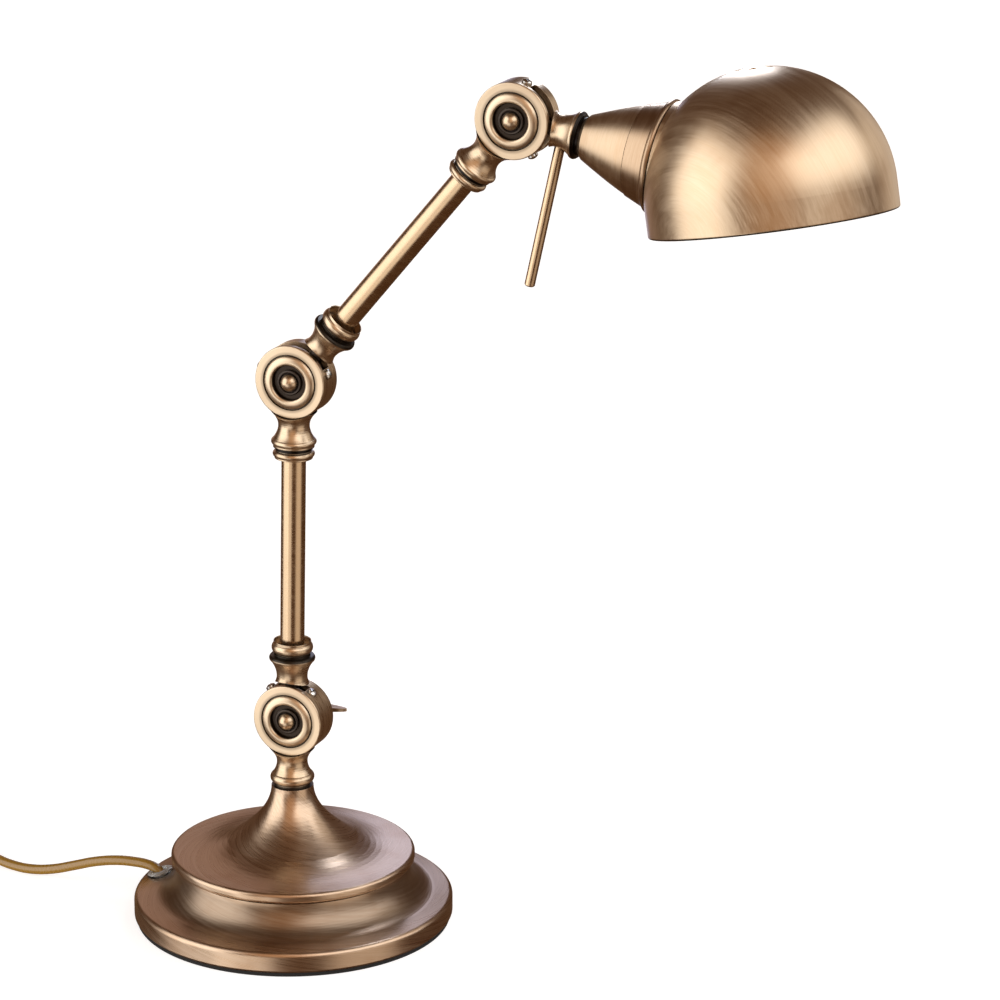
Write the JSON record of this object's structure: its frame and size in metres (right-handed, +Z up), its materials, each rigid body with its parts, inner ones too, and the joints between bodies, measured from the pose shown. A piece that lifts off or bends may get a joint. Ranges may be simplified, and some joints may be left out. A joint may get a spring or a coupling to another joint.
{
  "type": "desk lamp",
  "caption": "Antique brass task lamp: stepped round base, two tube arms with three disc knuckles, handle rod, swivelling half-dome shade, mains cord.",
  "frame": {"origin": "centre of the felt pad, on the table", "axes": "+Z up along the base axis; the arms lie in the XZ plane and the shade points to +X; the rosettes of the knuckles face -Y"},
  "size_m": [0.7213, 0.1628, 0.4486],
  "materials": {
    "base_brass": "antique copper-brass, spun, brushed round the axis, satin",
    "tube_brass": "antique brass with brown patina, satin",
    "shade_brass": "antique brass, brushed, satin",
    "satin_brass": "light antique brass, dark patina in the grooves",
    "gunmetal": "blackened steel",
    "steel": "bright zinc-plated steel",
    "fibre": "pressed fibre",
    "iron": "as cast",
    "felt": "black felt",
    "clear_plastic": "clear, slightly frosted",
    "cord_gold": "translucent gold PVC",
    "porcelain": "glazed white porcelain",
    "contact_brass": "plain",
    "bulb_cap": "plain",
    "opal_glass": "opal",
    "black_plastic": "smooth"
  },
  "bodies": {
    "base": {"base_lower_shell": "base_brass", "base_upper_shell": "base_brass", "base_weight": "iron", "base_plate": "steel", "base_pad": "felt", "base_stud": "steel", "base_fasteners": "steel", "cord_grommet": "clear_plastic", "base_cable": "cord_gold", "base_neck": "satin_brass", "k1_drum": "satin_brass", "k1_rosette": "satin_brass", "k1_cup_washer": "gunmetal", "k1_bolt": "satin_brass", "k1_friction_washer": "fibre", "k1_stop_screws": "steel", "power_cord": "cord_gold", "cord_coil": "cord_gold", "switch_case": "black_plastic", "plug_body": "black_plastic", "plug_pins": "steel"},
    "wing_key": {"wing_key": "tube_brass"},
    "lower_arm": {"k1_hub": "gunmetal", "lower_foot_neck": "satin_brass", "lower_collars": "satin_brass", "lower_tube": "tube_brass", "lower_cable": "cord_gold", "lower_top_neck": "satin_brass", "k2_drum": "satin_brass", "k2_rosette": "satin_brass", "k2_cup_washer": "gunmetal", "k2_bolt": "satin_brass", "k2_friction_washer": "fibre", "k2_stop_screws": "steel", "k2_back_nut": "satin_brass"},
    "upper_arm": {"k2_hub": "gunmetal", "upper_foot_neck": "satin_brass", "upper_collars": "satin_brass", "upper_tube": "tube_brass", "upper_cable": "cord_gold", "upper_top_neck": "satin_brass", "k3_drum": "satin_brass", "k3_rosette": "satin_brass", "k3_cup_washer": "gunmetal", "k3_bolt": "satin_brass", "k3_friction_washer": "fibre", "k3_stop_screws": "steel", "k3_back_nut": "satin_brass"},
    "head": {"k3_hub": "gunmetal", "head_neck": "satin_brass", "handle_rod": "tube_brass", "socket_cup": "tube_brass", "lampholder": "porcelain", "lampholder_contacts": "contact_brass", "bulb_cap": "bulb_cap", "bulb_glass": "opal_glass", "shade_clamp_ring": "steel"},
    "shade": {"gallery_ring": "satin_brass", "shade": "shade_brass"},
    "switch_rocker": {"switch_rocker": "black_plastic"}
  },
  "joints": [
    {"name": "lower_knuckle", "type": "hinge", "parent": "base", "child": "lower_arm", "pos_m": [0, 0, 0.1046], "axis": [0, -1, 0], "range_deg": [-14, 16]},
    {"name": "middle_knuckle", "type": "hinge", "parent": "lower_arm", "child": "upper_arm", "pos_m": [0.00334, 0, 0.27857], "axis": [0, -1, 0], "range_deg": [-14, 91]},
    {"name": "head_knuckle", "type": "hinge", "parent": "upper_arm", "child": "head", "pos_m": [0.11722, 0, 0.41525], "axis": [0, -1, 0], "range_deg": [-30, 59]},
    {"name": "shade_swivel", "type": "hinge", "parent": "head", "child": "shade", "pos_m": [0.11722, 0, 0.41525], "axis": [0.9871, 0, -0.1599], "range_deg": [-180, 180]},
    {"name": "wing_key_turn", "type": "hinge", "parent": "base", "child": "wing_key", "pos_m": [0, 0, 0.1046], "axis": [0, 1, 0], "range_deg": [-20, 170]},
    {"name": "rocker_tilt", "type": "hinge", "parent": "base", "child": "switch_rocker", "pos_m": [-0.214, 0, 0.0146], "axis": [0, 1, 0], "range_deg": [0, 18]}
  ]
}
